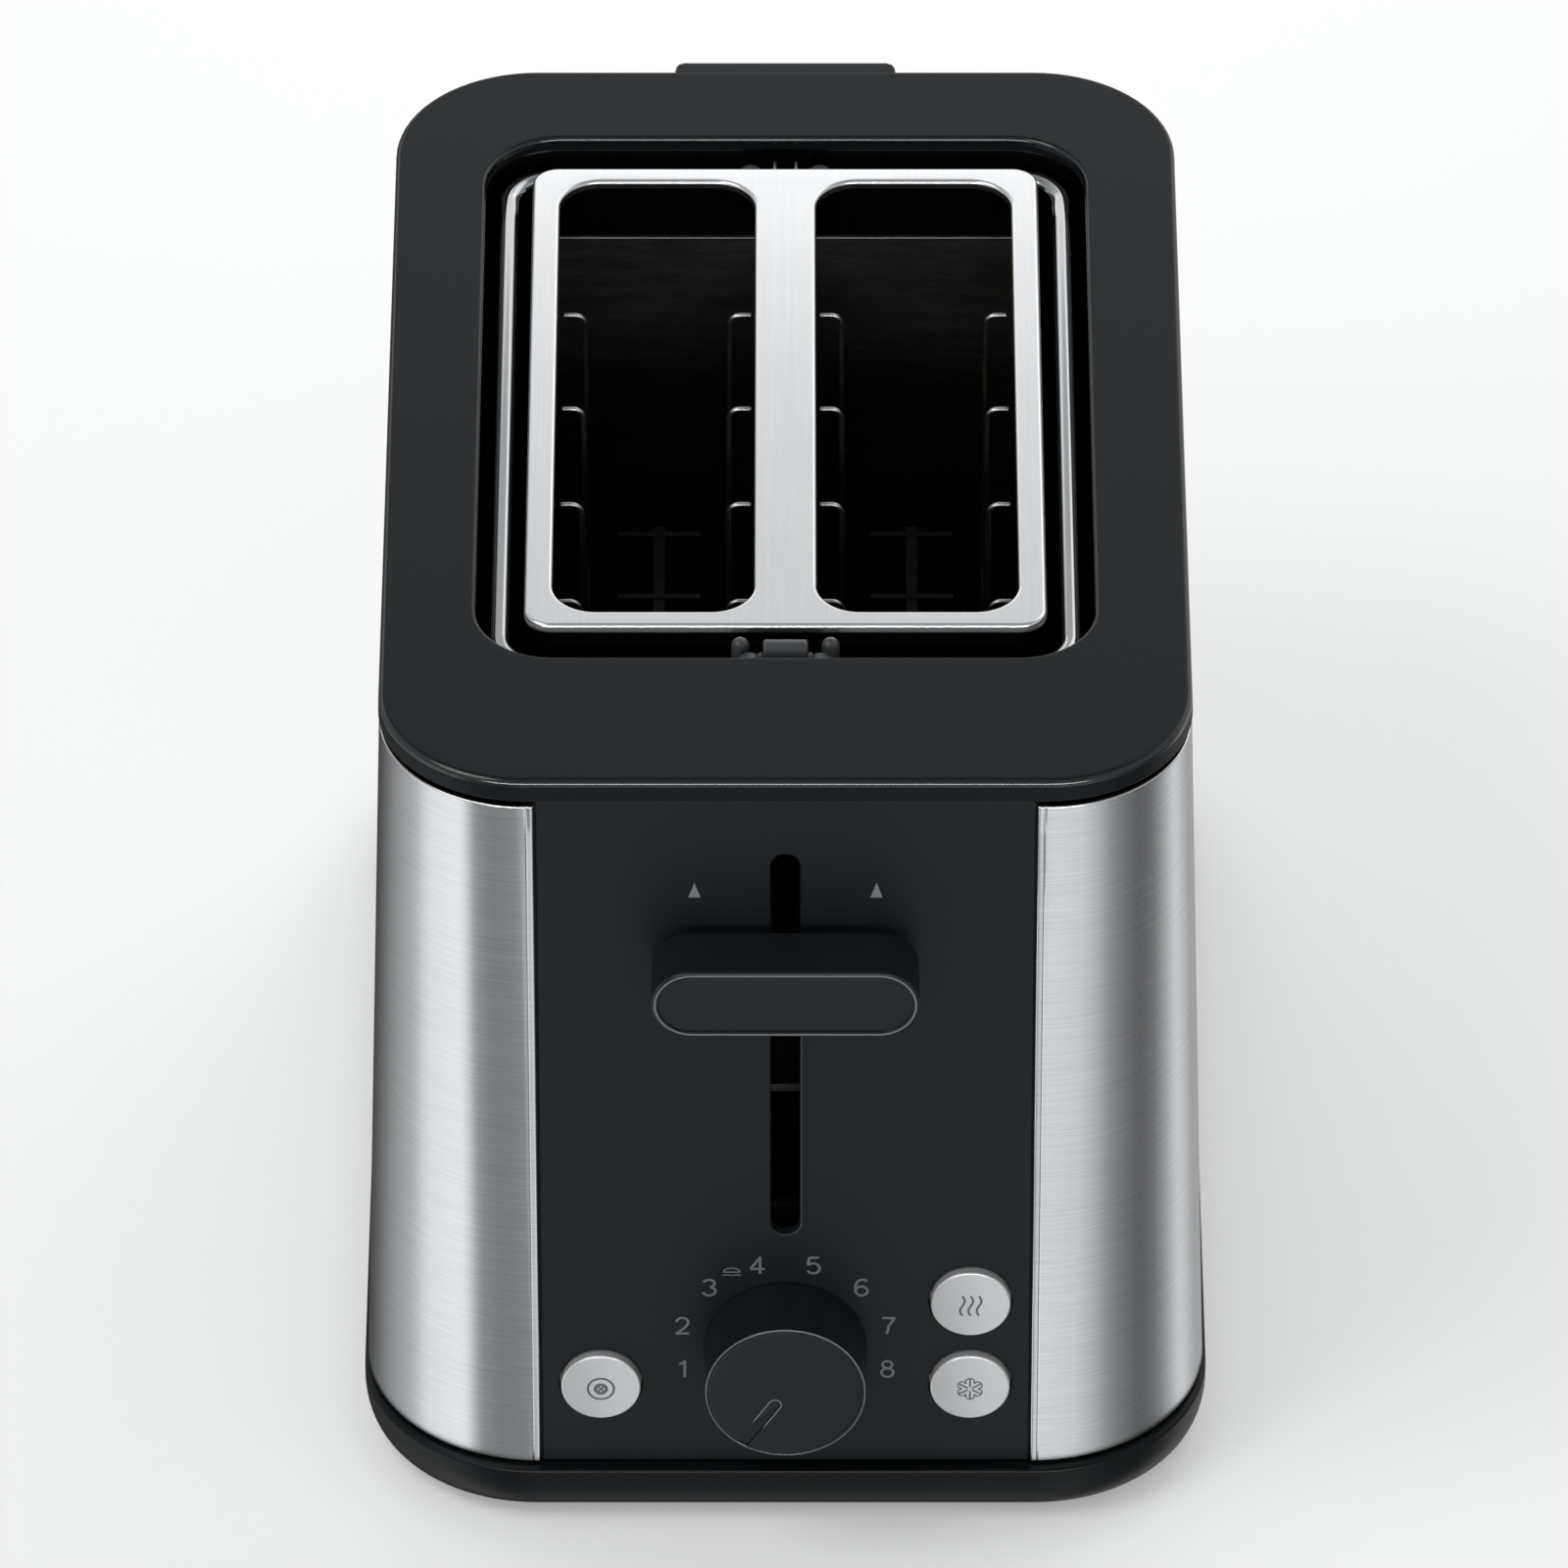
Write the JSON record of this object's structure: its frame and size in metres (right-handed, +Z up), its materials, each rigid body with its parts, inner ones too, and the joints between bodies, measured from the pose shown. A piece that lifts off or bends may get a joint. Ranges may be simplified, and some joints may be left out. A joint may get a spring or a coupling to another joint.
{
  "type": "pop-up toaster",
  "caption": "Long pop-up toaster with bread slots, a sliding lever, browning knob, push buttons, fold-up bun rack and crumb tray in a steel and black plastic housing.",
  "frame": {"origin": "middle of the whole object's box, at the feet's underside", "axes": "+Z up, +Y towards the rear, the lever and knob on the -Y side"},
  "size_m": [0.1798, 0.2798, 0.1945],
  "materials": {
    "satin_black": "satin",
    "panel_black": "matt",
    "gloss_black": "polished",
    "brushed_steel": "brushed",
    "plate_steel": "satin",
    "inner_steel": "plain",
    "wire_steel": "bright",
    "silver_button": "satin metallic paint",
    "black_rubber": "matt",
    "mica": "pearly",
    "heater_wire": "oxidised",
    "copper": "enamelled",
    "circuit_green": "solder mask",
    "cream_plastic": "matt"
  },
  "bodies": {
    "housing": {"base": "satin_black", "foot_front_left": "black_rubber", "foot_front_right": "black_rubber", "foot_rear_left": "black_rubber", "foot_rear_right": "black_rubber", "base_screw_1": "inner_steel", "base_screw_2": "inner_steel", "base_screw_3": "inner_steel", "base_screw_4": "inner_steel", "left_shell": "brushed_steel", "right_shell": "brushed_steel", "front_panel": "panel_black", "rear_panel": "satin_black", "rear_spacer": "satin_black", "cord_gland": "black_rubber", "top_frame": "satin_black", "slot_well": "gloss_black", "slot_plate": "plate_steel", "front_bulkhead": "inner_steel", "rear_bulkhead": "inner_steel", "reflector_left": "inner_steel", "reflector_right": "inner_steel", "heater_board_left_outer": "mica", "heater_board_left_inner": "mica", "heater_board_right_inner": "mica", "heater_board_right_outer": "mica", "heating_element_left_outer": "heater_wire", "heating_element_left_inner": "heater_wire", "heating_element_right_inner": "heater_wire", "heating_element_right_outer": "heater_wire", "guide_rod_left": "wire_steel", "guide_rod_right": "wire_steel", "rod_bracket": "inner_steel", "return_spring": "wire_steel", "electromagnet": "copper", "potentiometer": "satin_black", "control_board": "circuit_green", "terminal_block": "cream_plastic", "rack_bracket_front": "gloss_black", "rack_bracket_rear": "gloss_black"},
    "carriage": {"lever_knob": "satin_black", "lever_stem": "inner_steel", "carriage": "inner_steel", "armature_plate": "inner_steel", "bread_lifter_left": "wire_steel", "bread_lifter_right": "wire_steel"},
    "browning_knob": {"browning_knob": "satin_black", "knob_shaft": "inner_steel"},
    "cancel_button": {"cancel_button": "silver_button"},
    "reheat_button": {"reheat_button": "silver_button"},
    "defrost_button": {"defrost_button": "silver_button"},
    "crumb_tray": {"crumb_tray": "inner_steel", "tray_handle": "satin_black"},
    "bun_rack_left": {"bun_rack_left": "gloss_black"},
    "bun_rack_right": {"bun_rack_right": "gloss_black"},
    "guide_left_outer": {"bread_guide_left_outer": "wire_steel"},
    "guide_left_inner": {"bread_guide_left_inner": "wire_steel"},
    "guide_right_inner": {"bread_guide_right_inner": "wire_steel"},
    "guide_right_outer": {"bread_guide_right_outer": "wire_steel"}
  },
  "joints": [
    {"name": "lever_slide", "type": "slide", "parent": "housing", "child": "carriage", "axis": [0, 0, 1], "range_m": [-0.0671, 0.018], "stiffness_N_per_m": 150, "deforming": ["return_spring"]},
    {"name": "browning_turn", "type": "hinge", "parent": "housing", "child": "browning_knob", "pos_m": [0, -0.12393, 0.046], "axis": [0, 0.9994, -0.0346], "range_deg": [0, 252.6]},
    {"name": "cancel_press", "type": "slide", "parent": "housing", "child": "cancel_button", "axis": [0, 0.9994, -0.0346], "range_m": [0, 0.002], "stiffness_N_per_m": 500, "springref_m": -0.001},
    {"name": "reheat_press", "type": "slide", "parent": "housing", "child": "reheat_button", "axis": [0, 0.9994, -0.0346], "range_m": [0, 0.002], "stiffness_N_per_m": 500, "springref_m": -0.001},
    {"name": "defrost_press", "type": "slide", "parent": "housing", "child": "defrost_button", "axis": [0, 0.9994, -0.0346], "range_m": [0, 0.002], "stiffness_N_per_m": 500, "springref_m": -0.001},
    {"name": "crumb_tray_slide", "type": "slide", "parent": "housing", "child": "crumb_tray", "axis": [0, 1, 0], "range_m": [0, 0.19]},
    {"name": "bun_rack_left_fold", "type": "hinge", "parent": "housing", "child": "bun_rack_left", "pos_m": [-0.0075, 0, 0.1865], "axis": [0, 1, 0], "range_deg": [0, 65]},
    {"name": "bun_rack_right_fold", "type": "hinge", "parent": "housing", "child": "bun_rack_right", "pos_m": [0.0075, 0, 0.1865], "axis": [0, -1, 0], "range_deg": [0, 65]},
    {"name": "guide_left_outer_tilt", "type": "hinge", "parent": "housing", "child": "guide_left_outer", "pos_m": [-0.0431, 0.01605, 0.024], "axis": [0, 1, 0], "range_deg": [-0.6, 2]},
    {"name": "guide_left_inner_tilt", "type": "hinge", "parent": "housing", "child": "guide_left_inner", "pos_m": [-0.0121, 0.01605, 0.024], "axis": [0, -1, 0], "range_deg": [-0.6, 2]},
    {"name": "guide_right_inner_tilt", "type": "hinge", "parent": "housing", "child": "guide_right_inner", "pos_m": [0.0121, 0.01605, 0.024], "axis": [0, 1, 0], "range_deg": [-0.6, 2]},
    {"name": "guide_right_outer_tilt", "type": "hinge", "parent": "housing", "child": "guide_right_outer", "pos_m": [0.0431, 0.01605, 0.024], "axis": [0, -1, 0], "range_deg": [-0.6, 2]}
  ],
  "couplings": [
    {"joint": "guide_left_outer_tilt", "follows": "lever_slide", "rad_per_m": -0.47},
    {"joint": "guide_left_inner_tilt", "follows": "lever_slide", "rad_per_m": -0.47},
    {"joint": "guide_right_inner_tilt", "follows": "lever_slide", "rad_per_m": -0.47},
    {"joint": "guide_right_outer_tilt", "follows": "lever_slide", "rad_per_m": -0.47}
  ]
}
